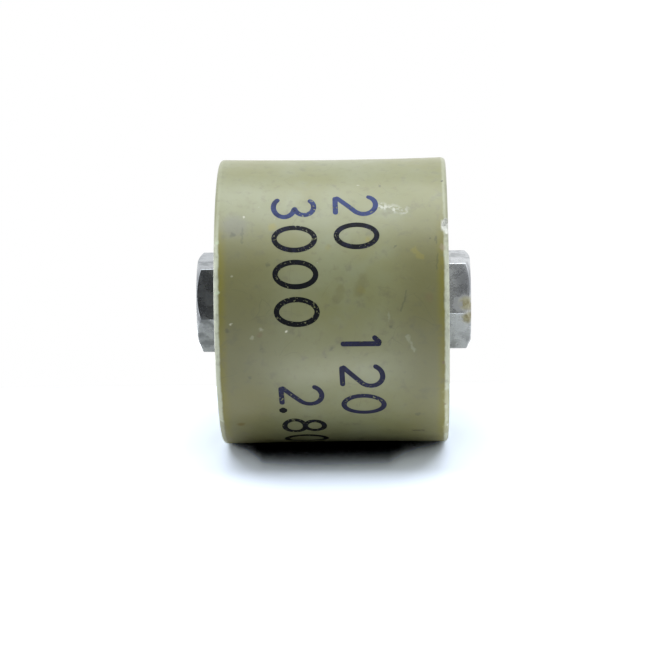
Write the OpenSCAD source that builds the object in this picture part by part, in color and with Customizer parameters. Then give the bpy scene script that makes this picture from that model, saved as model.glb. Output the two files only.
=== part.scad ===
// Moulded high-voltage ceramic capacitor with a tapped terminal in each end.
// All sizes are in millimetres. The part stands on its lower terminal: the origin is the centre of
// that terminal's end face, and +Z runs along the axis of the case.

/* [Case] */
// Diameter of the moulded case at its two ends
case_d = 20.55; // [18:0.05:32]
// Length of the moulded case
case_l = 16.2; // [15:0.1:30]
// How far the side is drawn in half way along, where the resin shrank in the mould
waist = 0.1; // [0.02:0.01:0.4]
// Rounding of the two rims
rim_r = 0.35; // [0.1:0.05:1]

/* [Chip in the lower rim] */
// Length of the chip, measured along the rim
chip_l = 1.5; // [1:0.1:2.4]
// How far the chip reaches up the side and in across the end
chip_reach = 0.45; // [0.2:0.05:0.7]
// Direction of the chip round the axis, in degrees from +X
chip_angle = -44.4; // [-180:0.1:180]

/* [Terminals] */
// How far each terminal stands out of the case
terminal_proud = 1.7; // [1:0.05:6]
// Width of the hexagon across its flats
hex_af = 6.35; // [5.5:0.05:8]
// Length of the stretch that keeps the hexagon
head_l = 3.2; // [2.6:0.1:3.8]
// Slope of the chamfer on the hexagon's outer corners, in degrees from the end face
corner_slope = 30; // [15:1:45]
// How far the turned end circle and the turned foot lie inside the flats
turned_in = 0.075; // [0.05:0.005:0.3]
// Length of the groove that anchors the terminal in the resin
groove_l = 1.2; // [0.4:0.1:1.6]
// Depth of that groove below the foot
groove_depth = 0.6; // [0.2:0.05:0.8]
// Turn of the upper hexagon against the lower one, in degrees
top_turn = -4.3; // [-30:0.1:30]

/* [Tapped holes] */
// Radius of the hole at the thread's crests
hole_r = 1.37; // [1:0.01:1.6]
// Length of the hole's straight wall
hole_l = 4; // [2.5:0.1:4.4]
// Width of the countersink at its mouth
countersink = 0.4; // [0.1:0.05:0.6]
// Angle of the drill point at its bottom, in degrees
drill_point = 118; // [100:1:140]

/* [Ceramic disc] */
// Diameter of the ceramic disc
ceramic_d = 14; // [11:0.1:17]
// Thickness of the ceramic disc
ceramic_t = 6; // [3:0.1:7]
// Bare margin of ceramic round each electrode
electrode_margin = 1; // [0.5:0.1:1.5]
// Thickness of each fired silver electrode
electrode_t = 0.05; // [0.03:0.01:0.1]

/* [Solder joints] */
// Thickness of the solder between the electrode and the terminal's foot
solder_t = 0.12; // [0.05:0.01:0.3]
// How far the solder spreads past the foot
solder_spread = 0.6; // [0.2:0.05:1]
// How high the solder climbs up the foot's side
solder_climb = 0.45; // [0.1:0.05:0.8]

/* [Hidden] */
$fn = 96;

case_r = case_d / 2;
case_low = terminal_proud;
middle = case_low + case_l / 2;
overall = case_l + 2 * terminal_proud;

// The side is one shallow hollow arc between the two rims
side_half = case_l / 2 - rim_r;
side_arc_r = (side_half ^ 2 + waist ^ 2) / (2 * waist);

// A ball that leaves the wanted chip where it bites into the corner of the rim
chip_out = ((chip_l / 2) ^ 2 - chip_reach ^ 2) / (2 * chip_reach);
chip_r = sqrt(2 * chip_out ^ 2 + (chip_l / 2) ^ 2);

ceramic_low = middle - ceramic_t / 2;
electrode_low = ceramic_low - electrode_t;
electrode_r = ceramic_d / 2 - electrode_margin;
solder_low = electrode_low - solder_t;
terminal_l = solder_low;

hex_corner_r = hex_af / 2 / cos(30);
flats_to_x = 30;
foot_r = hex_af / 2 - turned_in;
groove_r = foot_r - groove_depth;
// Overlap that carries a cut clear of the face it starts from
past = 1;
// The turned chamfer runs on past the corners of the hexagon
turned_r = hex_corner_r + past;
chamfer_l = (turned_r - foot_r) * tan(corner_slope);

// Turns what stands at the lower end over to the upper end
module at_upper_end() {
    translate([0, 0, overall]) mirror([0, 0, 1]) children();
}

// Outline of the case: a block with round rims and a hollow side
module case_outline() {
    difference() {
        union() {
            square([case_r - rim_r, case_l]);
            translate([0, rim_r]) square([case_r, case_l - 2 * rim_r]);
            for (y = [rim_r, case_l - rim_r]) translate([case_r - rim_r, y]) circle(r = rim_r);
        }
        translate([case_r - waist + side_arc_r, case_l / 2]) circle(r = side_arc_r, $fn = 1440);
    }
}

// Turned outline of a terminal, from its chamfered end face to its round foot
module terminal_outline() {
    polygon([
        [0, 0],
        [foot_r, 0],
        [turned_r, chamfer_l],
        [turned_r, head_l],
        [groove_r, head_l],
        [groove_r, head_l + groove_l],
        [foot_r, head_l + groove_l],
        [foot_r, terminal_l],
        [0, terminal_l]
    ]);
}

// A terminal before it is drilled: turned from hexagonal bar
module terminal_blank(turn) {
    intersection() {
        rotate_extrude() terminal_outline();
        rotate([0, 0, flats_to_x + turn])
            translate([0, 0, -past]) cylinder(r = hex_corner_r, h = terminal_l + 2 * past, $fn = 6);
    }
}

// Countersink, straight wall and drill point of a tapped hole, open at z = 0
module tapped_hole() {
    wall_top = countersink + hole_l;
    tip = wall_top + hole_r / tan(drill_point / 2);
    rotate_extrude() polygon([
        [0, -past],
        [hole_r + countersink + past, -past],
        [hole_r, countersink],
        [hole_r, wall_top],
        [0, tip]
    ]);
}

module terminal(turn) {
    difference() {
        terminal_blank(turn);
        tapped_hole();
    }
}

// Solder under the lower face of the disc, with a sloping ring round the terminal's foot
module solder_joint() {
    rotate_extrude() polygon([
        [0, solder_low],
        [foot_r, solder_low],
        [foot_r, solder_low - solder_climb],
        [foot_r + solder_spread, electrode_low],
        [0, electrode_low]
    ]);
}

module electrode() {
    translate([0, 0, electrode_low]) cylinder(r = electrode_r, h = electrode_t);
}

module disc() {
    translate([0, 0, ceramic_low]) cylinder(d = ceramic_d, h = ceramic_t);
}

// A solder joint run on into the terminal's foot and the disc, so that the resin leaves no film
// between the pieces that touch
module joined_solder() {
    rotate_extrude() polygon([
        [0, solder_low - solder_climb],
        [foot_r, solder_low - solder_climb],
        [foot_r + solder_spread, electrode_low],
        [foot_r + solder_spread, middle],
        [0, middle]
    ]);
}

// Everything that the resin was cast round
module core() {
    disc();
    translate([0, 0, electrode_low]) cylinder(r = electrode_r, h = overall - 2 * electrode_low);
    joined_solder();
    at_upper_end() joined_solder();
    terminal_blank(0);
    at_upper_end() terminal_blank(top_turn);
}

module rim_chip() {
    rotate([0, 0, chip_angle]) translate([case_r + chip_out, 0, case_low - chip_out]) sphere(r = chip_r);
}

module moulded_case() {
    color([0.47, 0.48, 0.38])
        difference() {
            translate([0, 0, case_low]) rotate_extrude() case_outline();
            core();
            rim_chip();
        }
}

module ceramic_disc() {
    color([0.86, 0.80, 0.68]) disc();
}

module electrode_bottom() {
    color([0.82, 0.82, 0.80]) electrode();
}

module electrode_top() {
    color([0.82, 0.82, 0.80]) at_upper_end() electrode();
}

module solder_bottom() {
    color([0.62, 0.63, 0.65]) solder_joint();
}

module solder_top() {
    color([0.62, 0.63, 0.65]) at_upper_end() solder_joint();
}

module terminal_bottom() {
    color([0.72, 0.75, 0.77]) terminal(0);
}

module terminal_top() {
    color([0.72, 0.75, 0.77]) at_upper_end() terminal(top_turn);
}

moulded_case();
ceramic_disc();
electrode_bottom();
electrode_top();
solder_bottom();
solder_top();
terminal_bottom();
terminal_top();
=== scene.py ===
"""The looks of a moulded high-voltage ceramic capacitor that stands on its lower terminal.

Lengths are in millimetres here and turn into metres where a mesh, a lamp or the camera is made.
Angles are in degrees from +X round the axis of the case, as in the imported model.
"""
import math

import bpy
import numpy as np
from mathutils import Matrix, Vector


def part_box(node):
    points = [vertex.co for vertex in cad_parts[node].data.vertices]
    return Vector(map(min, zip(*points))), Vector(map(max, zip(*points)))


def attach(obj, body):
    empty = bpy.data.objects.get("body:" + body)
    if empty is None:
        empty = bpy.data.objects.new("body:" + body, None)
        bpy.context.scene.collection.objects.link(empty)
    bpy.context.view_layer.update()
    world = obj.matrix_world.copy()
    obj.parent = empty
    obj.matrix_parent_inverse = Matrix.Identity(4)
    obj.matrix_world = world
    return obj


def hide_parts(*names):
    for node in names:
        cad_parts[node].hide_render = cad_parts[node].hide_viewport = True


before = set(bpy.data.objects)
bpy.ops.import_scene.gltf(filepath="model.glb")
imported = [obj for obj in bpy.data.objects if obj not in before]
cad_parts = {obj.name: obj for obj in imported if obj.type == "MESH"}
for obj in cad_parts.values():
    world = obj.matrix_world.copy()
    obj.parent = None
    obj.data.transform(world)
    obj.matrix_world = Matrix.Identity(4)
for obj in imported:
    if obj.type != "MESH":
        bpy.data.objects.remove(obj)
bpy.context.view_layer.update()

MM = 0.001


def box_mm(name):
    """Lowest and highest corner of a CAD node, in millimetres."""
    return [np.array(corner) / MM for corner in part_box(name)]


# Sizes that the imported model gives
case_low, case_high = (corner[2] for corner in box_mm("moulded_case"))
case_r = max(box_mm("moulded_case")[1][:2])
overall = box_mm("terminal_top")[1][2]
terminal_l = box_mm("terminal_bottom")[1][2]
half_flat = box_mm("terminal_bottom")[1][0]
ceramic_r = box_mm("ceramic_disc")[1][0]
ceramic_low, ceramic_high = (corner[2] for corner in box_mm("ceramic_disc"))
electrode_r = box_mm("electrode_bottom")[1][0]
electrode_low = box_mm("electrode_bottom")[0][2]
electrode_high = box_mm("electrode_top")[1][2]
solder_r = box_mm("solder_bottom")[1][0]
solder_climb_low = box_mm("solder_bottom")[0][2]
solder_climb_high = box_mm("solder_top")[1][2]

# Sizes that only the solids know, repeated from the part
waist = 0.1
rim_r = 0.35
head_l = 3.2
groove_l = 1.2
foot_r = half_flat - 0.075
groove_r = foot_r - 0.6
corner_slope = 30
top_turn = -4.3
hole_r = 1.37
countersink = 0.4
hole_l = 4.0
drill_point = 118
chip_l = 1.5
chip_reach = 0.45
chip_angle = -44.4

case_middle = (case_low + case_high) / 2
side_half = (case_high - case_low) / 2 - rim_r


# Camera: square to the axis, as in the photo, with the lower terminal at the picture's right

camera_angle = 15.9
camera_distance = 188.0
camera_level = 5.93
camera_lens = 143.7
camera_roll = -0.7
picture_width = 650
sensor_width = 36.0
# Pixel at which the photo shows the point of the axis nearest the camera
level_pixel = (387.8, 299.9)
focal_pixels = camera_lens / sensor_width * picture_width


def toward(angle):
    """Unit vector level with the floor, at an angle round the axis counted as the views count it."""
    turn = math.radians(angle)
    return Vector((math.sin(turn), -math.cos(turn), 0))


def pixel_ray(x, y):
    """Direction in the camera's own axes of what the picture shows at a pixel."""
    return Vector(((x - picture_width / 2) / focal_pixels, (picture_width / 2 - y) / focal_pixels, -1))


def camera_turn():
    """The camera's own axes in the frame: back to the viewer, up to the photo's top, then rolled
    and tipped until the nearest point of the axis falls on its pixel."""
    back = toward(camera_angle)
    up = Vector((-back.y, back.x, 0))
    square = Matrix((up.cross(back), up, back)).transposed()
    roll = Matrix.Rotation(math.radians(camera_roll), 3, "Z")
    tip = pixel_ray(*level_pixel).rotation_difference(Vector((0, 0, -1))).to_matrix()
    return square @ roll @ tip


camera_place = toward(camera_angle) * camera_distance + Vector((0, 0, camera_level))


def add_object(name, data):
    made = bpy.data.objects.new(name, data)
    bpy.context.scene.collection.objects.link(made)
    return made


def set_up(thing, place, turn):
    """Puts a lamp or the camera in its place, given in millimetres, and turns it."""
    thing.location = place * MM
    thing.rotation_mode = "QUATERNION"
    thing.rotation_quaternion = turn


def make_camera():
    lens = bpy.data.cameras.new("camera")
    lens.lens = camera_lens
    lens.sensor_width = sensor_width
    lens.clip_start = 0.01
    lens.clip_end = 5.0
    camera = add_object("camera", lens)
    set_up(camera, camera_place, camera_turn().to_quaternion())
    bpy.context.scene.camera = camera


make_camera()


def side_point(x, y):
    """Point of the case's side that the photo shows at a pixel: the nearer of the two points at
    which the pixel's ray meets the cylinder."""
    ray = (camera_turn() @ pixel_ray(x, y)).normalized()
    a = ray.x ** 2 + ray.y ** 2
    b = camera_place.x * ray.x + camera_place.y * ray.y
    c = camera_place.x ** 2 + camera_place.y ** 2 - case_r ** 2
    reach = (-b - math.sqrt(b * b - a * c)) / a
    return camera_place + ray * reach


def end_point(x, y, level):
    """Point seen at a pixel of the photo on a terminal, taken at its height above the floor."""
    ray = camera_turn() @ pixel_ray(x, y)
    side = toward(camera_angle)
    reach = (half_flat - camera_place.dot(side)) / ray.dot(side)
    found = camera_place + ray * reach
    return Vector((found.x, found.y, level))


# Shapes: rows of points carried round the axis

def even_angles(count):
    """Angles in radians, evenly spaced once round."""
    return np.arange(count) * (2 * np.pi / count)


# Rounding of the hexagon's six edges
corner_r = 0.07
# Share of a flat from its first inner column to its last
inner_share = 0.97


def corner_start(flat):
    """Angle from the middle of a flat to the start of the corner's rounding."""
    return math.atan((flat - corner_r) * math.tan(math.pi / 6) / flat)


def hexagon_angles(turn, across=22, bend_count=7):
    """Angles in radians once round a hexagon, close together where its rounded corners are."""
    flat_end = corner_start(half_flat)
    inner = np.linspace(-flat_end, flat_end, across - 2) * inner_share
    flat = np.concatenate([[-flat_end], inner, [flat_end]])
    bend = np.linspace(flat_end, np.pi / 3 - flat_end, bend_count + 2)[1:-1]
    sixth = np.concatenate([flat, bend])
    return (np.arange(6)[:, None] * (np.pi / 3) + sixth).ravel() + math.radians(turn)


def hexagon(angles, turn):
    """Radius of the hexagonal bar: flat / cos(t) along a flat, where t is the angle from the flat's
    middle, and the far side of a small circle at each corner."""
    t = np.abs(np.mod(angles - math.radians(turn) + np.pi / 6, np.pi / 3) - np.pi / 6)
    circle_out = (half_flat - corner_r) / math.cos(math.pi / 6)
    from_corner = np.pi / 6 - t
    rounded = circle_out * np.cos(from_corner) + np.sqrt(
        np.maximum(corner_r ** 2 - (circle_out * np.sin(from_corner)) ** 2, 0)
    )
    return np.where(t < corner_start(half_flat), half_flat / np.cos(t), rounded)


def corner(r, z, soft=0.0, spans=1):
    """A corner of an outline: its radius and height, how far its rounding reaches, and into how
    many spans the stretch after it is divided."""
    return {"r": r, "z": z, "soft": soft, "spans": spans}


def carried_outline(corners, angles, closed, arc_steps=6):
    """Rows of (radius, height) for every angle. A soft corner becomes the curve
    (1-t)^2 A + 2t(1-t) B + t^2 C from A before it to C after it, B being the corner itself."""
    at = [np.stack([np.broadcast_to(c[key], angles.shape) for key in ("r", "z")]) for c in corners]
    count = len(at)
    starts, ends, bends = [], [], []
    for i, c in enumerate(corners):
        here = at[i]
        if c["soft"] == 0:
            starts.append(here)
            ends.append(here)
            bends.append([here])
            continue
        before = at[i - 1] - here
        after = at[(i + 1) % count] - here
        start = here + before / np.linalg.norm(before, axis=0) * c["soft"]
        end = here + after / np.linalg.norm(after, axis=0) * c["soft"]
        steps = np.linspace(0, 1, arc_steps + 1)
        bends.append([(1 - t) ** 2 * start + 2 * t * (1 - t) * here + t * t * end for t in steps])
        starts.append(start)
        ends.append(end)
    rows = []
    for i, c in enumerate(corners):
        rows += bends[i]
        if i == count - 1 and not closed:
            break
        following = starts[(i + 1) % count]
        rows += [ends[i] + (following - ends[i]) * (k / c["spans"]) for k in range(1, c["spans"])]
    return np.array(rows)


def carried_points(outline, angles):
    """Points (r cos a, r sin a, z) for rows of (radius, height)."""
    r, z = outline[:, 0], outline[:, 1]
    return np.stack([r * np.cos(angles), r * np.sin(angles), z], axis=-1)


def skin(points, closed):
    """Points and faces of a surface whose rows each run once round. A closed one also joins its
    last row to its first; an open one ends in a pole, where a whole row is one point.
    Faces are turned round if the space inside comes out negative."""
    rows, columns = points.shape[:2]
    if closed:
        index = np.arange(rows * columns).reshape(rows, columns)
        vertices = points.reshape(-1, 3)
        body = np.concatenate([index, index[:1]])
        fans = []
    else:
        inner = (rows - 2) * columns
        index = np.arange(1, inner + 1).reshape(rows - 2, columns)
        vertices = np.concatenate([points[:1, 0], points[1:-1].reshape(-1, 3), points[-1:, 0]])
        body = index
        fans = [(0, index[0], True), (inner + 1, index[-1], False)]
    low, high = body[:-1], body[1:]
    quads = np.stack([low, np.roll(low, -1, 1), np.roll(high, -1, 1), high], axis=-1).reshape(-1, 4)
    triangles = [np.zeros((0, 3), int)]
    for pole, ring, first in fans:
        following = np.roll(ring, -1)
        order = (following, ring) if first else (ring, following)
        triangles.append(np.stack([np.full(columns, pole), *order], axis=-1))
    triangles = np.concatenate(triangles)
    halves = np.concatenate([quads[:, [0, 1, 2]], quads[:, [0, 2, 3]], triangles])
    a, b, c = (vertices[halves[:, k]] for k in range(3))
    if np.einsum("ij,ij->i", a, np.cross(b, c)).sum() < 0:
        quads, triangles = quads[:, ::-1], triangles[:, ::-1]
    return vertices, quads, triangles


# Edges whose faces meet at more degrees than this stay sharp
sharp_from = 40


def make_piece(name, skins, material, replaced=()):
    """Joins skins into one mesh object in metres, smooth but for its sharp edges, riding on the body."""
    vertices, faces, start = [], [], 0
    for points, quads, triangles in skins:
        vertices.append(points)
        faces += (quads + start).tolist() + (triangles + start).tolist()
        start += len(points)
    mesh = bpy.data.meshes.new(name)
    mesh.from_pydata((np.concatenate(vertices) * MM).tolist(), [], faces)
    mesh.polygons.foreach_set("use_smooth", np.ones(len(mesh.polygons), bool))
    mesh.set_sharp_from_angle(angle=math.radians(sharp_from))
    mesh.materials.append(material)
    piece = add_object(name, mesh)
    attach(piece, "root")
    if replaced:
        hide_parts(*replaced)
    return piece


def add_mask(piece, name, values):
    """Keeps one number for each point of a piece, for its material to read."""
    layer = piece.data.attributes.new(name, "FLOAT", "POINT")
    layer.data.foreach_set("value", values.astype(np.float32))


# Moulded case: columns of its skin, and depths of the ripple's slow and quick waves

case_columns = 600
slow_ripple = 0.006
quick_ripple = 0.002


def ripple(angle, z):
    """Depth of the faint unevenness that shrinkage left in the side: three slow waves, added."""
    slow = np.sin(3 * angle + 0.5 * z + 0.4) + np.sin(5 * angle - 0.33 * z + 2.1)
    quick = np.sin(11 * angle + 1.1 * z)
    return slow_ripple * (1 + slow / 2) + quick_ripple * (1 + quick)


def side_radius(angle, z):
    """Radius of the case's side: the end radius less the hollow, waist * (1 - (height from the
    middle / half length)^2), less the ripple."""
    hollow = np.maximum(1 - ((z - case_middle) / side_half) ** 2, 0)
    return case_r - waist * hollow - ripple(angle, z)


def case_outline(angles):
    """The case's closed outline: outside first, then along the top terminal, round the disc and
    back along the bottom terminal."""
    lower_hex = hexagon(angles, 0)
    upper_hex = hexagon(angles, top_turn)
    upper_head = overall - head_l
    outside = [
        corner(lower_hex, case_low, spans=12),
        corner(case_r, case_low, soft=rim_r, spans=78),
        corner(case_r, case_high, soft=rim_r, spans=12),
        corner(upper_hex, case_high, spans=3),
    ]
    along_top = [
        corner(upper_hex, upper_head, spans=2),
        corner(groove_r, upper_head),
        corner(groove_r, upper_head - groove_l),
        corner(foot_r, upper_head - groove_l, spans=2),
        corner(foot_r, solder_climb_high),
        corner(solder_r, electrode_high, spans=2),
    ]
    round_disc = [
        corner(electrode_r, electrode_high),
        corner(electrode_r, ceramic_high),
        corner(ceramic_r, ceramic_high, spans=4),
        corner(ceramic_r, ceramic_low),
        corner(electrode_r, ceramic_low),
        corner(electrode_r, electrode_low, spans=2),
    ]
    along_bottom = [
        corner(solder_r, electrode_low),
        corner(foot_r, solder_climb_low, spans=2),
        corner(foot_r, head_l + groove_l),
        corner(groove_r, head_l + groove_l),
        corner(groove_r, head_l, spans=2),
        corner(lower_hex, head_l, spans=3),
    ]
    corners = outside + along_top + round_disc + along_bottom
    return carried_outline(corners, angles, closed=True, arc_steps=8)


def drawn_in_outline(angles):
    """The case's outline, with its outer wall drawn in by the hollow and the ripple."""
    outline = case_outline(angles)
    r, z = outline[:, 0], outline[:, 1]
    outer = (r > case_r - 0.5 * rim_r) & (z > case_low) & (z < case_high)
    drawn = r - (case_r - side_radius(np.broadcast_to(angles, z.shape), z))
    outline[:, 0] = np.where(outer, drawn, r)
    return outline


# Small losses along the two rims: pixel of the photo, length along the rim, reach
lower_rim_nicks = [
    ((446, 377), 0.5, 0.16),
    ((446, 403), 0.4, 0.14),
    ((445, 426), 0.55, 0.2),
    ((444, 190), 0.35, 0.1),
]
upper_rim_nicks = [
    ((217, 205), 0.45, 0.13),
    ((216, 245), 0.5, 0.16),
    ((218, 396), 0.35, 0.1),
]


def bite_ball(angle, rim_z, inward, length, reach):
    """Centre and radius of the ball that takes a bite of that length and reach out of a rim."""
    out = ((length / 2) ** 2 - reach ** 2) / (2 * reach)
    turn = math.radians(angle)
    centre = np.array([
        (case_r + out) * math.cos(turn),
        (case_r + out) * math.sin(turn),
        rim_z - inward * out,
    ])
    return centre, math.sqrt(2 * out ** 2 + (length / 2) ** 2)


def rim_bites():
    """The chip and the nicks, as balls."""
    balls = [bite_ball(chip_angle, case_low, 1, chip_l, chip_reach)]
    for nicks, rim_z, inward in ((lower_rim_nicks, case_low, 1), (upper_rim_nicks, case_high, -1)):
        for pixel, length, reach in nicks:
            spot = side_point(*pixel)
            angle = math.degrees(math.atan2(spot.y, spot.x))
            balls.append(bite_ball(angle, rim_z, inward, length, reach))
    return balls


# Unevenness of a broken face, and the width of its blurred edge, as shares of the ball's radius
crumble_share = 0.05
blur_share = 0.12


def make_case(material):
    """The resin drum, with its chip and nicks pushed in and marked as broken."""
    angles = even_angles(case_columns)
    outline = drawn_in_outline(angles)
    points, quads, triangles = skin(carried_points(outline, angles), closed=True)
    broken = np.zeros(len(points))
    rough = np.random.default_rng(7)
    for centre, radius in rim_bites():
        away = points - centre
        distance = np.linalg.norm(away, axis=1)
        inside = distance < radius
        crumble = 1 + crumble_share * rough.standard_normal(inside.sum())
        points[inside] = centre + away[inside] / distance[inside, None] * radius * crumble[:, None]
        share = np.clip((radius - distance) / (blur_share * radius) + 0.5, 0, 1)
        broken = np.maximum(broken, share)
    skins = [(points, quads, triangles)]
    piece = make_piece("moulded_case_skin", skins, material, ["moulded_case"])
    add_mask(piece, "broken", broken)
    return piece


# Terminals

thread_pitch = 25.4 / 32
thread_major_r = 1.753
thread_end = 3.7
# Length over which the thread runs out at its end, and half the width of its flat root
thread_fade = 0.6
root_half_w = thread_pitch / 16
# Rows of the threaded wall, and the depth of the first of them
wall_rows = 84
wall_start = 0.05


def thread_depth(angles, depth, facing):
    """Depth of a right-hand 60 degree thread below its crests, as a function of the angle and of
    the depth into the hole: a flat root, sloping sides, flat crests, fading out at its end."""
    turns = facing * depth / thread_pitch - angles / (2 * np.pi)
    from_root = np.abs(np.mod(turns, 1) - 0.5) * thread_pitch
    full = thread_major_r - hole_r
    cut = full - np.maximum(from_root - root_half_w, 0) / math.tan(math.pi / 6)
    fade = np.clip((thread_end - depth) / thread_fade, 0, 1)
    return np.clip(cut, 0, full) * fade


def terminal_outline(angles, turn, facing):
    """A terminal's outline from the tip of its drill point, up the threaded wall, over the end face
    and down the hexagon to the middle of its foot. Heights are depths from the end face."""
    wall_end = countersink + hole_l
    tip = wall_end + hole_r / math.tan(math.radians(drill_point / 2))
    bar = hexagon(angles, turn)
    chamfer = (bar - foot_r) * math.tan(math.radians(corner_slope))
    outside = carried_outline([
        corner(hole_r + countersink, 0, soft=0.04, spans=6),
        corner(foot_r, 0, soft=0.05, spans=2),
        corner(bar, chamfer, soft=0.05, spans=8),
        corner(bar, head_l, soft=0.02, spans=2),
        corner(groove_r, head_l, soft=0.05, spans=2),
        corner(groove_r, head_l + groove_l, soft=0.05),
        corner(foot_r, head_l + groove_l, soft=0.05, spans=3),
        corner(foot_r, terminal_l, soft=0.05, spans=3),
        corner(0.0, terminal_l),
    ], angles, closed=False, arc_steps=4)
    depth = np.linspace(wall_end, wall_start, wall_rows)[:, None] * np.ones_like(angles)
    cone = hole_r + countersink - depth
    wall = np.maximum(hole_r + thread_depth(angles, depth, facing), cone)
    hole = np.stack([wall, depth], axis=1)
    point = np.array([[0 * angles, tip + 0 * angles]])
    return np.concatenate([point, hole, outside[1:]])


def make_terminal(name, turn, facing, material, replaced):
    """One terminal; facing is 1 for the lower one and -1 for the upper one, which is upside down."""
    angles = hexagon_angles(turn)
    outline = terminal_outline(angles, turn, facing)
    if facing < 0:
        outline[:, 1] = overall - outline[:, 1]
    skins = [skin(carried_points(outline, angles), closed=False)]
    return make_piece(name, skins, material, [replaced])


# Printed rating: round-nibbed strokes, read from the photo's top downward

glyph_h = 2.8
glyph_pitch = 2.62
stroke_w = 0.37
print_slant = 1.6
print_lift = 0.006
stroke_step = 0.09
# Words of the rating: height above the floor at which the line stands where the camera looks
# straight at it, angle above the camera's direction at which the word starts, its characters, and
# how thin the ink of each is, or that it isn't worn
unworn_ink = -1.0
print_words = [
    (9.3, 45.5, "20", (0.9, 0.1)),
    (9.3, -11.5, "120", (0.45, 0.5, 0.45)),
    (13.6, 44.4, "3000", (0.8, 0.1, 0.0, 0.0)),
    (13.6, -35.4, "2", (0.5,)),
    (13.6, -49.6, ".80", (unworn_ink, 0.05, 0.0)),
]
# How far the next character stands after a full stop
stop_pitch = 1.0


def arc(cx, cy, rx, ry, start, stop):
    """Points along an ellipse, from one angle to another."""
    t = np.radians(np.linspace(start, stop, 40))
    return np.stack([cx + rx * np.cos(t), cy + ry * np.sin(t)], axis=1)


def line(first, last):
    """Points along a straight stroke."""
    t = np.linspace(0, 1, 16)[:, None]
    return np.array(first) * (1 - t) + np.array(last) * t


# Each character as strokes in a box 0.62 wide and 1 high; the stop is a few short ones side by side
glyphs = {
    ".": [
        line((-0.18, 0.01), (0.04, 0.01)),
        line((-0.15, -0.025), (0.01, -0.025)),
        line((-0.15, 0.045), (0.01, 0.045)),
    ],
    "0": [arc(0.31, 0.5, 0.31, 0.5, 90, 450)],
    "1": [line((0.36, 0), (0.36, 1)), line((0.36, 1), (0.16, 0.8))],
    "2": [
        np.concatenate([arc(0.31, 0.70, 0.30, 0.30, 165, -30), line((0.54, 0.5), (0.02, 0))]),
        line((0.02, 0), (0.62, 0)),
    ],
    "3": [arc(0.29, 0.76, 0.26, 0.24, 155, -90), arc(0.30, 0.26, 0.31, 0.26, 90, -155)],
    "8": [arc(0.31, 0.76, 0.25, 0.24, 270, 630), arc(0.31, 0.26, 0.31, 0.26, 90, 450)],
}


def even_path(path, step):
    """The same path with its points evenly spaced, and how far along it each of them lies."""
    lengths = np.concatenate([[0], np.cumsum(np.linalg.norm(np.diff(path, axis=0), axis=1))])
    count = max(int(lengths[-1] / step), 4)
    at = np.linspace(0, lengths[-1], count + 1)
    return np.stack([np.interp(at, lengths, path[:, k]) for k in (0, 1)], axis=1), at


def stroke_rows(path, ring):
    """Rows of (along, across, lift) for one inked stroke: at each step of the path a flat six-sided
    section. Its half width h falls to nothing over the round ends as h sqrt(1 - (1 - s/h)^2), s being
    the way from the end; a ring has no ends."""
    half = stroke_w / 2
    even, at = even_path(path, stroke_step)
    if ring:
        middle = even[:-1]
        heading = np.roll(middle, -1, 0) - np.roll(middle, 1, 0)
        width = np.full(len(middle), half)
    else:
        ends = np.array([0, 0.02, 0.06, 0.12, 0.2, 0.3, 0.42]) * half
        total = at[-1]
        inner = at[(at > 0.5 * half) & (at < total - 0.5 * half)]
        cuts = np.unique(np.concatenate([ends, inner, total - ends]))
        middle = np.stack([np.interp(cuts, at, even[:, k]) for k in (0, 1)], axis=1)
        heading = np.gradient(middle, cuts, axis=0)
        near = np.minimum(cuts, total - cuts) / half
        width = half * np.sqrt(np.clip(1 - (1 - np.minimum(near, 1)) ** 2, 0, 1))
    heading = heading / np.linalg.norm(heading, axis=1)[:, None]
    across = np.stack([-heading[:, 1], heading[:, 0]], axis=1)
    shares = np.array([-1, 0, 1, 1, 0, -1])
    lifts = np.array([0.5, 1, 0.5, -2, -2, -2]) * print_lift
    flat = middle[:, None] + across[:, None] * (width[:, None] * shares)[..., None]
    lift = np.where(width[:, None] > 0, lifts, 0)
    return np.concatenate([flat, lift[..., None]], axis=-1)


def wrap_on_side(rows, first_angle, base_z):
    """Lays (along, across, lift) on the case: along runs round the side against the angle, across
    runs down toward the lower terminal, and the line leans by its slant."""
    raised = math.radians(first_angle) - rows[..., 0] / case_r
    angle = math.radians(camera_angle - 90) + raised
    z = base_z - rows[..., 1] + math.tan(math.radians(print_slant)) * raised * case_r
    r = side_radius(angle, z) + rows[..., 2]
    return np.stack([r * np.cos(angle), r * np.sin(angle), z], axis=-1)


def make_print(material):
    """Both lines of the rating as one thin film, with how thin the ink is at each point."""
    skins, thinness = [], []
    for base_z, first_angle, word, thin in print_words:
        along = 0
        for character, share in zip(word, thin):
            for stroke in glyphs[character]:
                path = stroke * glyph_h + np.array([along, 0])
                ring = bool(np.allclose(path[0], path[-1]))
                made = skin(wrap_on_side(stroke_rows(path, ring), first_angle, base_z), closed=ring)
                skins.append(made)
                thinness.append(np.full(len(made[0]), share))
            along += stop_pitch if character == "." else glyph_pitch
    piece = make_piece("printed_rating", skins, material)
    add_mask(piece, "thin_ink", np.concatenate(thinness))
    return piece


# Node helpers

def is_fed(value):
    return isinstance(value, bpy.types.NodeSocket)


def fill(made, inputs):
    """Gives each named socket of a node its value, or links it to the output that feeds it."""
    for key, value in inputs.items():
        if is_fed(value):
            made.id_data.links.new(value, made.inputs[key])
        else:
            made.inputs[key].default_value = value


def source(tree, kind, inputs=None, **settings):
    """Adds a node with its settings and its filled sockets."""
    made = tree.nodes.new(kind)
    for name, value in settings.items():
        setattr(made, name, value)
    fill(made, inputs or {})
    return made


def node(kind, inputs, **settings):
    """Adds a node to the tree of the first output that feeds it."""
    tree = next(value for value in inputs.values() if is_fed(value)).id_data
    return source(tree, kind, inputs, **settings)


def math_node(operation, *values):
    return node("ShaderNodeMath", dict(enumerate(values)), operation=operation).outputs[0]


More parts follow.
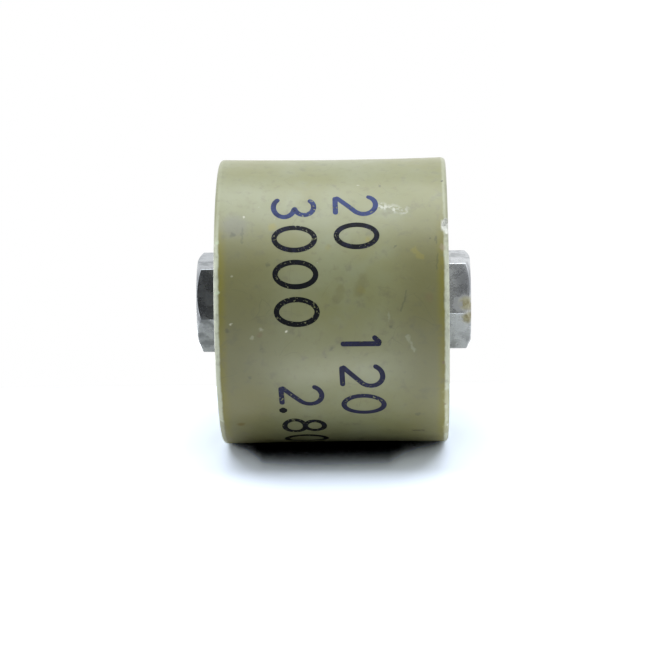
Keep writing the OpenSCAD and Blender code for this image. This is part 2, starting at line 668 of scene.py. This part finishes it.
def times(first, second):
    return math_node("MULTIPLY", first, second)


def greater(first, second):
    return math_node("MAXIMUM", first, second)


def less_from_one(value):
    return math_node("SUBTRACT", 1.0, value)


def linear(value, slope, start):
    """The value times a slope, added to a start."""
    return math_node("MULTIPLY_ADD", value, slope, start)


def vector_node(operation, *values):
    """A step of reckoning with vectors: a number where the step gives one, or else a vector."""
    made = node("ShaderNodeVectorMath", dict(enumerate(values)), operation=operation)
    return made.outputs["Value" if operation in ("DOT_PRODUCT", "DISTANCE", "LENGTH") else "Vector"]


def scaled(vector, factor):
    return node("ShaderNodeVectorMath", {0: vector, "Scale": factor}, operation="SCALE").outputs[0]


def separate(place):
    return node("ShaderNodeSeparateXYZ", {0: place}).outputs


def ease(value, low, high):
    """0 below low, 1 above high and a smooth rise between; low may be the greater."""
    inputs = {"Value": value, "From Min": low, "From Max": high}
    return node("ShaderNodeMapRange", inputs, interpolation_type="SMOOTHSTEP").outputs[0]


def ramp(value, low, high):
    """0 up to low, 1 from high on and a straight rise between."""
    return node("ShaderNodeMapRange", {"Value": value, "From Min": low, "From Max": high}).outputs[0]


def noise(place, scale, detail, roughness=0.5):
    inputs = {"Vector": place, "Scale": scale, "Detail": detail, "Roughness": roughness}
    return node("ShaderNodeTexNoise", inputs).outputs


def blend_colour(factor, first, second):
    """The first colour where the factor is 0 and the second where it is 1."""
    first, second = (colour if is_fed(colour) else (*colour, 1) for colour in (first, second))
    return node("ShaderNodeMix", {0: factor, 6: first, 7: second}, data_type="RGBA").outputs[2]


def lay_over(colour, mask, strength, shade):
    """The colour with a shade laid over it where the mask is, at a strength."""
    return blend_colour(times(mask, strength), colour, shade)


def start_effect(name, vectors, numbers):
    """Starts a node group that takes the named vectors and numbers and gives one amount."""
    group = bpy.data.node_groups.new(name, "ShaderNodeTree")
    for names, kind in ((vectors, "NodeSocketVector"), (numbers, "NodeSocketFloat")):
        for socket_name in names:
            group.interface.new_socket(socket_name, in_out="INPUT", socket_type=kind)
    group.interface.new_socket("Amount", in_out="OUTPUT", socket_type="NodeSocketFloat")
    return group, group.nodes.new("NodeGroupInput").outputs, group.nodes.new("NodeGroupOutput").inputs[0]


def use(group, **inputs):
    """Places an effect in a material and gives its amount."""
    return node("ShaderNodeGroup", inputs, node_tree=group).outputs["Amount"]


# Share of a mark's radius within which it is at its full strength
full_share = 0.35


def mottling_effect():
    """Cloudy patches: fractal noise of a given size, raised in contrast about its middle."""
    group, given, put = start_effect("mottling", ["Place"], ["Size", "Low", "High"])
    scale = math_node("DIVIDE", 1.0, given["Size"])
    cloud = noise(given["Place"], scale, 4.0, 0.55)["Fac"]
    group.links.new(ease(cloud, given["Low"], given["High"]), put)
    return group


def specks_effect():
    """Scattered dots: one feature point in each cell, left only in a share of the cells."""
    group, given, put = start_effect("specks", ["Place"], ["Spacing", "Share", "Size"])
    scale = math_node("DIVIDE", 1.0, given["Spacing"])
    cells = node("ShaderNodeTexVoronoi", {"Vector": given["Place"], "Scale": scale}).outputs
    chance = node("ShaderNodeSeparateColor", {0: cells["Color"]}).outputs
    chosen = math_node("LESS_THAN", chance[0], given["Share"])
    radius = times(given["Size"], math_node("ADD", chance[1], 0.4))
    reach = math_node("DIVIDE", radius, given["Spacing"])
    inside = less_from_one(math_node("DIVIDE", cells["Distance"], reach))
    group.links.new(times(chosen, ease(inside, 0.0, 0.5)), put)
    return group


def hairlines_effect():
    """Fine scratches: the borders of bent cells, left only where a second cloud is high."""
    group, given, put = start_effect("hairlines", ["Place"], ["Size", "Width", "Sparse"])
    scale = math_node("DIVIDE", 1.0, given["Size"])
    bend = vector_node("MULTIPLY", noise(given["Place"], scale, 1.0)["Color"], (1.5,) * 3)
    bent = vector_node("ADD", given["Place"], bend)
    cells = node("ShaderNodeTexVoronoi", {"Vector": bent, "Scale": scale}, feature="DISTANCE_TO_EDGE")
    off_border = ease(cells.outputs["Distance"], 0.0, given["Width"])
    cover = noise(given["Place"], 0.55, 2.0)["Fac"]
    high = math_node("ADD", given["Sparse"], 0.08)
    chosen = ease(cover, given["Sparse"], high)
    group.links.new(times(less_from_one(off_border), chosen), put)
    return group


def streak_effect():
    """A soft-edged mark along a straight way from one point to another: with t the share of the way
    nearest to the place, clamped to 0..1, it fades with |place - (first + t (last - first))|."""
    group, given, put = start_effect("streak", ["Place", "First", "Last"], ["Radius"])
    way = vector_node("SUBTRACT", given["Last"], given["First"])
    from_first = vector_node("SUBTRACT", given["Place"], given["First"])
    along = vector_node("DOT_PRODUCT", from_first, way)
    whole = vector_node("DOT_PRODUCT", way, way)
    share = node("ShaderNodeMath", {0: along, 1: whole}, operation="DIVIDE", use_clamp=True).outputs[0]
    distance = vector_node("DISTANCE", from_first, scaled(way, share))
    full = times(given["Radius"], full_share)
    group.links.new(ease(distance, given["Radius"], full), put)
    return group


mottling = mottling_effect()
specks = specks_effect()
hairlines = hairlines_effect()
streak = streak_effect()


def clouds(place, size, low, high):
    return use(mottling, Place=place, Size=size, Low=low, High=high)


def dots(place, spacing, share, size):
    return use(specks, Place=place, Spacing=spacing, Share=share, Size=size)


def scratches(place, size, width, sparse):
    return use(hairlines, Place=place, Size=size, Width=width, Sparse=sparse)


def start_material(name):
    """A material, its main shader and the piece's own place in millimetres."""
    material = bpy.data.materials.new(name)
    material.use_nodes = True
    shader = material.node_tree.nodes["Principled BSDF"]
    own = source(material.node_tree, "ShaderNodeTexCoord").outputs["Object"]
    return material, shader, node("ShaderNodeMapping", {"Vector": own, "Scale": (1 / MM,) * 3}).outputs[0]


def piece_mask(place, name):
    """The number that the piece keeps for each of its points under a name."""
    return source(place.id_data, "ShaderNodeAttribute", attribute_name=name).outputs["Fac"]


def grain(place, size, depth):
    """Normal of a surface with fine unevenness of a given size and depth in millimetres."""
    height = noise(place, 1 / size, 3.0)["Fac"]
    return node("ShaderNodeBump", {"Height": height, "Distance": depth * MM, "Strength": 1.0}).outputs[0]


def near_spot(place, spot, radius):
    """1 within a soft-edged ball round a point."""
    return ease(vector_node("DISTANCE", place, tuple(spot)), radius, full_share * radius)


def uneven_place(place, size, reach):
    """The place moved by a little noise, so that marks drawn with it have uneven outlines."""
    shift = vector_node("SUBTRACT", noise(place, 1 / size, 2.0)["Color"], (0.5,) * 3)
    return vector_node("ADD", place, scaled(shift, reach))


def side_streak(place, first, last, radius):
    """A mark on the case's side between two pixels of the photo."""
    return use(streak, Place=place, First=side_point(*first), Last=side_point(*last), Radius=radius)


def axis_distance(parts):
    """Distance from the axis of the case, from the parts of a place."""
    flat = node("ShaderNodeCombineXYZ", {"X": parts["X"], "Y": parts["Y"]}).outputs[0]
    return vector_node("LENGTH", flat)


# Casting resin

resin_colour = (0.300, 0.316, 0.178)
resin_olive = (0.268, 0.272, 0.120)
resin_grey = (0.335, 0.362, 0.240)
resin_aged = (0.182, 0.174, 0.066)
rim_yellow = (0.245, 0.222, 0.036)
# Pale rim edge: partly wear, partly a painted highlight of the rounded rim
rim_wear_and_highlight = (0.690, 0.730, 0.570)
# Paler resin where it broke, with a painted highlight that the chip catches
broken_pale_and_glint = (0.84, 0.85, 0.78)

# Marks on the side: pixel of the photo, radius, colour and strength
white = (0.85, 0.84, 0.70)
yellow = (0.33, 0.29, 0.06)
brown = (0.22, 0.15, 0.08)
dirt = (0.07, 0.07, 0.05)
side_marks = [
    ((241.4, 424.6), 0.36, (0.135, 0.098, 0.002), 1.0),
    ((243.5, 216.5), 0.12, white, 0.7),
    ((258, 206), 0.12, white, 0.4),
    ((215, 263), 0.13, white, 1.0),
    ((216.5, 243), 0.24, (0.66, 0.76, 0.55), 0.8),
    ((216.5, 293), 0.22, (0.66, 0.76, 0.55), 0.8),
    ((231.6, 276), 0.14, white, 0.3),
    # The next two white dots are painted glints on small pits
    ((230.3, 324), 0.14, white, 0.6),
    ((286, 331.6), 0.18, white, 1.0),
    ((316.6, 262), 0.12, white, 0.45),
    ((319, 216.5), 0.12, white, 0.5),
    ((358, 184.7), 0.14, white, 0.6),
    ((261, 330), 0.24, white, 0.25),
    ((252, 338.5), 0.20, white, 0.2),
    ((272, 226), 0.42, yellow, 0.6),
    ((368, 238.5), 0.34, yellow, 0.6),
    ((328, 247), 0.36, yellow, 0.35),
    ((282, 396), 0.45, yellow, 0.3),
    ((361, 289.6), 0.40, yellow, 0.3),
    ((429, 297), 0.45, brown, 0.3),
    ((442.4, 247), 0.35, (0.42, 0.33, 0.25), 0.5),
    ((234, 226), 1.30, (0.20, 0.20, 0.18), 0.45),
    ((232.7, 235), 0.28, dirt, 0.5),
    ((268, 265), 0.22, dirt, 0.45),
    ((227, 331), 0.22, dirt, 0.4),
    ((260, 335), 0.30, brown, 0.45),
    ((260.8, 349), 0.16, dirt, 0.4),
    ((291.8, 350), 0.16, dirt, 0.4),
    ((331.4, 349.4), 0.24, dirt, 0.4),
    ((250, 378), 0.20, dirt, 0.35),
    ((391, 326.4), 0.18, dirt, 0.4),
    ((418.6, 414.8), 0.26, dirt, 0.45),
    ((442.4, 180.7), 0.12, (0.01, 0.01, 0.01), 0.9),
    ((247, 406), 2.7, (0.24, 0.21, 0.04), 0.25),
    ((443.8, 363), 0.14, brown, 0.7),
    ((443.8, 379), 0.14, brown, 0.7),
    ((445, 404), 0.14, brown, 0.7),
]
# Scratches and streaks: first and last pixel, half width, colour and strength
side_streaks = [
    ((414, 430.9), (424, 430.9), 0.16, (0.03, 0.03, 0.02), 0.9),
    ((379.3, 182.5), (379.3, 187), 0.14, dirt, 0.6),
    ((392.5, 247.5), (395.5, 245.5), 0.12, dirt, 0.75),
    ((242, 228), (242, 242), 0.12, dirt, 0.3),
    ((437, 254), (437, 268), 0.10, dirt, 0.35),
    ((436, 237), (436, 243), 0.10, dirt, 0.4),
    ((407.6, 287), (401, 311), 0.10, dirt, 0.35),
    ((406.2, 332), (406.8, 334.5), 0.11, dirt, 0.6),
    ((407.7, 335.6), (414, 350.5), 0.16, (0.50, 0.52, 0.40), 0.3),
    ((389, 314), (389, 323), 0.14, (0.50, 0.52, 0.40), 0.25),
    ((414, 250), (421, 257), 0.30, yellow, 0.45),
    # The next two streaks are painted shade on the pale rim toward the underside
    ((447, 392), (446, 432), 0.34, (0.44, 0.43, 0.22), 0.65),
    ((220, 424), (229, 441), 0.50, (0.25, 0.24, 0.13), 0.6),
    ((336, 300), (341, 289), 0.45, resin_aged, 0.35),
    ((358, 292), (363, 278), 0.50, resin_aged, 0.35),
]
# A pale scuff with broken edges, with its brightest stretch inside it
scuffs = [((380, 205), (404, 210), 0.5, 0.4), ((381, 205.5), (394, 208.5), 0.35, 0.75)]
# Soft dirt all over the resin: size of its clouds, their low and high level, strength and colour
resin_dirt = [
    (1.1, 0.54, 0.74, 0.28, (0.14, 0.14, 0.09)),
    (0.55, 0.50, 0.76, 0.32, (0.17, 0.16, 0.09)),
]
# Specks in the resin: spacing, share of the cells that hold one, size, strength and colour
resin_specks = [
    (1.3, 0.16, 0.09, 0.55, (0.05, 0.05, 0.04)),
    (1.9, 0.12, 0.08, 0.5, (0.55, 0.55, 0.43)),
]
scratched_resin = (0.09, 0.09, 0.06)
scuffed_resin = (0.80, 0.81, 0.72)
# The ageing, the yellow band and most of the pale rim edge are gone from the first height above the
# axis up, toward the main lamp, as the photo has it, and are whole below the second
top_fade_from = 7.4
top_fade_to = 2.4
# Ageing grows with the level from the first to the second, and toward either end of the case
aged_levels = (10.5, 16.5)
aged_off_end = (5.5, 1.5)
# Distances from the end over which the yellow band and the pale edge of each rim set in; the pale edge is
# partly wear and partly a painted highlight
band_off_end = (1.05, 0.45)
edge_off_end = (0.44, 0.28)


def resin_ground(place):
    """Khaki clouds, olive with age, with a yellow band and a pale edge at each rim, the pale edge partly
    wear and partly a painted highlight. These fade out toward the top, the side toward the main lamp."""
    colour = blend_colour(clouds(place, 6.0, 0.32, 0.68), resin_colour, resin_olive)
    colour = lay_over(colour, clouds(place, 2.2, 0.5, 0.75), 0.4, resin_grey)
    parts = separate(place)
    off_middle = math_node("ABSOLUTE", math_node("SUBTRACT", parts["Z"], case_middle))
    off_end = math_node("SUBTRACT", (case_high - case_low) / 2, off_middle)
    off_axis = axis_distance(parts)
    height = vector_node("DOT_PRODUCT", place, tuple(toward(camera_angle + 90)))
    below_top = ease(height, top_fade_from, top_fade_to)

    aged = greater(ease(parts["Z"], *aged_levels), ease(off_end, *aged_off_end))
    colour = lay_over(colour, times(aged, below_top), 0.75, resin_aged)
    outer = ease(off_axis, case_r - 1.1, case_r - 0.5)
    band = times(ease(off_end, *band_off_end), times(outer, below_top))
    colour = lay_over(colour, band, 0.85, rim_yellow)
    # Pale rim edge, partly a painted highlight: weak on the side toward the main lamp, stronger toward
    # the lower end
    ragged_off_end = linear(clouds(place, 0.6, 0.3, 0.7), 0.05, off_end)
    outermost = ease(off_axis, case_r - 0.5, case_r - 0.25)
    edge = times(ease(ragged_off_end, *edge_off_end), outermost)
    top_rim_highlight = linear(ease(parts["Z"], 14.0, 6.0), 0.25, 0.1)
    edge = times(edge, greater(below_top, top_rim_highlight))
    return blend_colour(edge, colour, rim_wear_and_highlight)


def resin_material():
    """Cast resin: on the ground lie dirt, scratches, specks, the photo's marks, among them painted glints
    and painted shade, the scuff and the paler broken spots with a painted highlight; half gloss."""
    material, shader, place = start_material("cast_resin")
    colour = resin_ground(place)
    for size, low, high, strength, shade in resin_dirt:
        colour = lay_over(colour, clouds(place, size, low, high), strength, shade)
    colour = lay_over(colour, scratches(place, 2.6, 0.012, 0.52), 0.22, scratched_resin)
    for spacing, share, size, strength, shade in resin_specks:
        colour = lay_over(colour, dots(place, spacing, share, size), strength, shade)

    uneven = uneven_place(place, 0.35, 0.4)
    for pixel, radius, shade, strength in side_marks:
        colour = lay_over(colour, near_spot(uneven, side_point(*pixel), radius), strength, shade)
    for first, last, radius, shade, strength in side_streaks:
        colour = lay_over(colour, side_streak(uneven, first, last, radius), strength, shade)
    scuff = 0.0
    for first, last, radius, strength in scuffs:
        rubbed = times(side_streak(uneven, first, last, radius), strength)
        scuff = greater(scuff, rubbed)
    scuff = times(clouds(place, 0.26, 0.42, 0.58), scuff)
    colour = lay_over(colour, scuff, 0.8, scuffed_resin)
    broken = piece_mask(place, "broken")
    rough = linear(clouds(place, 1.7, 0.3, 0.7), 0.12, 0.36)
    rough = linear(scuff, 0.2, rough)
    fill(shader, {
        "Base Color": blend_colour(broken, colour, broken_pale_and_glint),
        "Roughness": linear(broken, 0.3, rough),
        "IOR": 1.55,
        "Coat Weight": 0.4,
        "Coat Roughness": 0.3,
        "Normal": grain(place, 0.22, 0.006),
    })
    return material


# Printing ink: thick, thin and nearly gone

ink_black = (0.004, 0.005, 0.007)
ink_indigo = (0.026, 0.028, 0.068)
ink_blue = (0.062, 0.084, 0.215)


def ink_material():
    """Stamped ink: near black, indigo and then blue where it is thin, with small holes where it has
    worn through."""
    material, shader, place = start_material("stamping_ink")
    given = piece_mask(place, "thin_ink")
    uneven = linear(clouds(place, 0.5, 0.3, 0.7), 0.24, -0.12)
    thin = math_node("ADD", given, uneven)
    colour = blend_colour(ease(thin, 0.0, 0.5), ink_black, ink_indigo)
    colour = blend_colour(ease(thin, 0.5, 0.95), colour, ink_blue)
    holes = clouds(place, 0.16, 0.58, 0.66)
    worn = clouds(place, 3.5, 0.40, 0.60)
    may_wear = math_node("GREATER_THAN", given, unworn_ink / 2)
    gone = times(times(holes, worn), may_wear)
    fill(shader, {
        "Base Color": colour,
        "Roughness": 0.55,
        "Specular IOR Level": 0.14,
        "Alpha": less_from_one(gone),
        "Normal": grain(place, 0.12, 0.003),
    })
    return material


# Metals: clear colour, dulled colour and roughness

plating = ((0.64, 0.67, 0.70), (0.44, 0.46, 0.48), 0.24)
# The upper terminal's plating, darker: partly tarnish, partly painted shade of the dark things its facets
# reflect
tarnish_and_shade_plating = ((0.50, 0.53, 0.56), (0.30, 0.32, 0.34), 0.24)
fired_silver = ((0.80, 0.80, 0.77), (0.66, 0.66, 0.63), 0.42)
solder = ((0.50, 0.51, 0.53), (0.38, 0.39, 0.41), 0.34)
pitted_metal = (0.12, 0.12, 0.12)
scratched_metal = (0.25, 0.26, 0.27)
dark_film_and_reflection = (0.06, 0.065, 0.08)
crust_colours = ((0.36, 0.32, 0.18), (0.50, 0.48, 0.33))
# Turning marks: ridges to a radian of their wave and depth
turning_rate = 90.0
turning_depth = 0.0006
# Where the photo shows brown crust on the lower terminal, with its reach; a dark film on the lower
# terminal, and a painted dark reflection on the upper terminal's middle facet, each with its reach and
# strength
crust_spots = [(end_point(465, 304, 0.35), 0.75), (end_point(467.5, 318, 0.2), 0.7)]
lower_film = [(end_point(467, 281, 0.1), 1.5, 0.45)]
upper_dark_reflection = [(end_point(199, 293, overall - 0.2), 2.6, 0.5)]


def metal_material(name, colour, dull_colour, roughness, crusts=(), films_and_reflections=()):
    """Plated or cast metal: clear and dulled patches, a few dark pits, fine scratches, the given patches
    of dark film and painted dark reflections, the given brown crusts, and turning marks that ring the
    axis on the ends."""
    material, shader, place = start_material(name)
    patches = clouds(place, 0.9, 0.42, 0.66)
    mixed = blend_colour(patches, colour, dull_colour)
    mixed = lay_over(mixed, dots(place, 0.5, 0.3, 0.05), 0.6, pitted_metal)
    mixed = lay_over(mixed, scratches(place, 0.8, 0.02, 0.42), 0.3, scratched_metal)
    for spot, reach, strength in films_and_reflections:
        mixed = lay_over(mixed, near_spot(place, spot, reach), strength, dark_film_and_reflection)
    rough = linear(patches, 0.16, roughness)
    metallic = 1.0
    if crusts:
        crust = 0.0
        for spot, reach in crusts:
            crust = greater(crust, near_spot(place, spot, reach))
        crust = times(clouds(place, 0.5, 0.30, 0.46), crust)
        crust_colour = blend_colour(clouds(place, 0.25, 0.35, 0.65), *crust_colours)
        mixed = blend_colour(crust, mixed, crust_colour)
        rough = linear(crust, 0.3, rough)
        metallic = less_from_one(crust)
    off_axis = axis_distance(separate(place))
    rings = math_node("SINE", times(off_axis, turning_rate))
    rings = times(rings, ease(off_axis, half_flat - 0.02, half_flat - 0.1))
    turned = {"Height": rings, "Distance": turning_depth * MM, "Normal": grain(place, 0.18, 0.004)}
    normal = node("ShaderNodeBump", turned).outputs[0]
    fill(shader, {"Base Color": mixed, "Roughness": rough, "Metallic": metallic, "Normal": normal})
    return material


# Ceramic: its two shades, and its dots

ceramic_shades = ((0.68, 0.58, 0.42), (0.58, 0.48, 0.33))
ceramic_dots = (0.30, 0.22, 0.14)


def ceramic_material():
    """Fired titanate ceramic: warm, matt and faintly grained."""
    material, shader, place = start_material("fired_ceramic")
    colour = blend_colour(clouds(place, 2.0, 0.3, 0.7), *ceramic_shades)
    colour = lay_over(colour, dots(place, 0.6, 0.2, 0.05), 0.5, ceramic_dots)
    fill(shader, {"Base Color": colour, "Roughness": 0.6, "Normal": grain(place, 0.1, 0.01)})
    return material


def dress(names, material):
    """Gives CAD nodes a finish; their meshes stay as they are."""
    for name in names:
        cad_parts[name].data.materials.clear()
        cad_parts[name].data.materials.append(material)


# Stage: a pale floor, a pale card at the side that the part lay on, soft lamps and a dark flag

lamp_white = (0.95, 0.985, 1.0)
room_level = 0.155
floor_half = 3000.0
card_half = 120.0
# The card ends this far behind the axis, so that the lamp at the back shines past it
card_back = 12.0
# The card stands this far off the side that touches it, so that no faces fall together
card_gap = 0.005
pale = (0.82, 0.82, 0.82)
# The same paper as the camera sees it, where shadows are faintly blue
pale_seen = (0.77, 0.83, 0.97)
# How many times brighter than pale_seen the floor and the card show to the camera, so that they
# read as white where no shadow falls
floor_lift = 2.6
card_lift = 1.85
# Painted shadow: the paper's colour darkens where what stands on it, within this reach, shuts out the
# sky. It is black up to the first share of open sky, and as pale as it can be from the second on, which
# is another one for the camera than for the light that the paper throws back
painted_shadow_reach = 14.0
black_sky = 0.18
seen_sky = 0.38
lit_sky = 0.8
# The light that comes in under the case from its lower and upper end reaches this far, and lightens the
# painted shadow there
low_reach = 4.5
high_reach = 3.0
# How many times more open the sky counts there, on the card
card_lit_ends = 4.0
# The floor fades out over this way to the card, whose own shadow goes on
floor_fade = 7.5
# How far along its surface the floor and the card are looked at when they start to vanish, and when
# they are gone, as the facing of the surface
floor_vanish = (0.93, 0.955)
card_vanish = (0.90, 0.95)
# How far the lamps that stand for the light thrown back by the card lie off it
glow_off = 0.1
# Those lamps: name, place along the card and up it, power, width, height, and the rays that miss it
card_glows = [
    ("card_glow", -21, 9.8, 0.15, 12, 8, ["diffuse"]),
    ("card_near_glow", -11.8, 9.8, 0.04, 7, 17, ["diffuse"]),
    ("card_end_glow", -13.0, -1.5, 0.055, 10, 7, []),
    ("card_back_glow", 7.75, 9.8, 0.055, 8.5, 15, []),
]


def hide_from(thing, rays):
    """Keeps a thing from being met by rays of the named kinds."""
    for ray in rays:
        setattr(thing, "visible_" + ray, False)


def flat_sheet(name, centre, across, up, material):
    """A flat rectangle whose front faces across x up."""
    corners = [centre - across - up, centre + across - up, centre + across + up, centre - across + up]
    mesh = bpy.data.meshes.new(name)
    mesh.from_pydata([tuple(c * MM) for c in corners], [], [(0, 1, 2, 3)])
    mesh.materials.append(material)
    sheet = add_object(name, mesh)
    return sheet


def stage_material(name, lift, vanish, lit_ends, card_fade):
    """Pale paper that the camera sees white where no shadow falls; its colour holds a painted shadow
    where what stands on it shuts out the sky. Seen from behind, or along its surface at less than a few
    degrees, it lets the white background through. Toward the two ends of the case light comes in from the
    side: there the sky counts as up to 1 + lit_ends times as open. With a card_fade of 1 the paper fades
    out toward the card, whose own shadow then goes on."""
    material = bpy.data.materials.new(name)
    material.use_nodes = True
    tree = material.node_tree
    tree.nodes.clear()
    from_camera = source(tree, "ShaderNodeLightPath").outputs["Is Camera Ray"]
    shown = blend_colour(from_camera, pale, tuple(c * lift for c in pale_seen))
    sky = source(tree, "ShaderNodeAmbientOcclusion", {"Distance": painted_shadow_reach * MM}, samples=16).outputs["AO"]
    parts = separate(source(tree, "ShaderNodeTexCoord").outputs["Object"])
    in_from_low = ease(parts["Z"], case_low * MM, (case_low + low_reach) * MM)
    in_from_high = ease(parts["Z"], case_high * MM, (case_high - high_reach) * MM)
    under_case = times(in_from_low, in_from_high)
    open_enough = linear(from_camera, seen_sky - lit_sky, lit_sky)
    opened = linear(under_case, -lit_ends, 1 + lit_ends)
    pale_share = ramp(times(sky, opened), black_sky, open_enough)
    # Painted shadow: the paper's colour goes to black where little sky is open
    shown = blend_colour(less_from_one(pale_share), shown, (0, 0, 0))
    paper = node("ShaderNodeBsdfDiffuse", {"Color": shown}).outputs[0]
    clear = source(tree, "ShaderNodeBsdfTransparent").outputs[0]
    facing = source(tree, "ShaderNodeLayerWeight").outputs["Facing"]
    behind = source(tree, "ShaderNodeNewGeometry").outputs["Backfacing"]
    near_card = ease(parts["X"], (floor_fade - case_r) * MM, -case_r * MM)
    unseen = greater(greater(behind, ease(facing, *vanish)), times(near_card, card_fade))
    hidden = times(from_camera, unseen)
    mixed = node("ShaderNodeMixShader", {0: hidden, 1: paper, 2: clear}).outputs[0]
    node("ShaderNodeOutputMaterial", {"Surface": mixed})
    return material


def add_lamp(name, place, power, width, height, aim=Vector((0, 0, 10))):
    """A soft rectangular lamp that faces the part; its power is what lights a surface square to it
    at a plain level, times this number."""
    lamp = bpy.data.lights.new(name, "AREA")
    lamp.shape = "RECTANGLE"
    lamp.size = width * MM
    lamp.size_y = height * MM
    way = place - aim
    lamp.energy = power * math.pi ** 2 * (way.length * MM) ** 2
    lamp.color = lamp_white
    holder = add_object(name, lamp)
    set_up(holder, place, way.to_track_quat("Z", "Y"))
    holder.visible_camera = False
    return holder


def make_room():
    """White behind everything that the camera or a reflection sees, and a dimmer even light for
    the rest."""
    world = bpy.data.worlds.new("room")
    bpy.context.scene.world = world
    world.use_nodes = True
    tree = world.node_tree
    tree.nodes.clear()
    light = source(tree, "ShaderNodeLightPath").outputs
    seen = greater(light["Is Camera Ray"], light["Is Glossy Ray"])
    level = linear(seen, 1.0 - room_level, room_level)
    sky = node("ShaderNodeBackground", {"Color": (1, 1, 1, 1), "Strength": level}).outputs[0]
    node("ShaderNodeOutputWorld", {"Surface": sky})


def dark_material():
    material, shader, place = start_material("dark_flag")
    fill(shader, {"Base Color": (0.02, 0.02, 0.02, 1)})
    return material


def make_stage():
    """The floor shows its shadow to the camera and lights nothing, so that both ends of the part are
    lit alike. The card is what the photo's table was: the side of the part touches it, and the glows
    give the part the light that the card throws back. The flag darkens what the metal reflects."""
    x, y, z = Vector((1, 0, 0)), Vector((0, 1, 0)), Vector((0, 0, 1))
    floor_paper = stage_material("floor_paper", floor_lift, floor_vanish, 0.0, 1.0)
    floor = flat_sheet("floor", x * (floor_half - case_r), x * floor_half, y * floor_half, floor_paper)
    hide_from(floor, ["diffuse", "glossy", "transmission", "shadow"])
    card_middle = Vector((-case_r - card_gap, card_back - card_half, case_middle))
    card_paper = stage_material("card_paper", card_lift, card_vanish, card_lit_ends, 0.0)
    flat_sheet("side_card", card_middle, y * card_half, z * card_half, card_paper)
    flag_way = toward(camera_angle + 9)
    flag_middle = flag_way * 180 + z * 50
    flag = flat_sheet("dark_flag", flag_middle, z * 90, z.cross(flag_way) * 84, dark_material())
    hide_from(flag, ["camera", "diffuse", "transmission", "shadow"])
    make_room()
    add_lamp("main_lamp", toward(camera_angle + 80) * 260 + z * 10, 1.40, 240, 468)
    add_lamp("top_lamp", Vector((60, -60, 300)), 0.3, 260, 260)
    add_lamp("low_lamp", toward(camera_angle + 40) * 170 - z * 200, 0.14, 200, 200)
    add_lamp("back_lamp", toward(216) * 260 + z * 60, 0.65, 200, 200)
    for name, along, level, power, width, height, missed_by in card_glows:
        place = Vector((-case_r + glow_off, along, level))
        hide_from(add_lamp(name, place, power, width, height, aim=place + x * 20), missed_by)


make_stage()
bpy.context.scene.view_settings.view_transform = "Standard"

make_case(resin_material())
make_print(ink_material())
stained = metal_material("plating_stained", *plating, crust_spots, lower_film)
make_terminal("terminal_bottom_skin", 0, 1, stained, "terminal_bottom")
upper_plating = metal_material("plating_tarnish_and_shade", *tarnish_and_shade_plating, films_and_reflections=upper_dark_reflection)
make_terminal("terminal_top_skin", top_turn, -1, upper_plating, "terminal_top")
dress(["ceramic_disc"], ceramic_material())
dress(["electrode_bottom", "electrode_top"], metal_material("fired_silver", *fired_silver))
dress(["solder_bottom", "solder_top"], metal_material("solder", *solder))
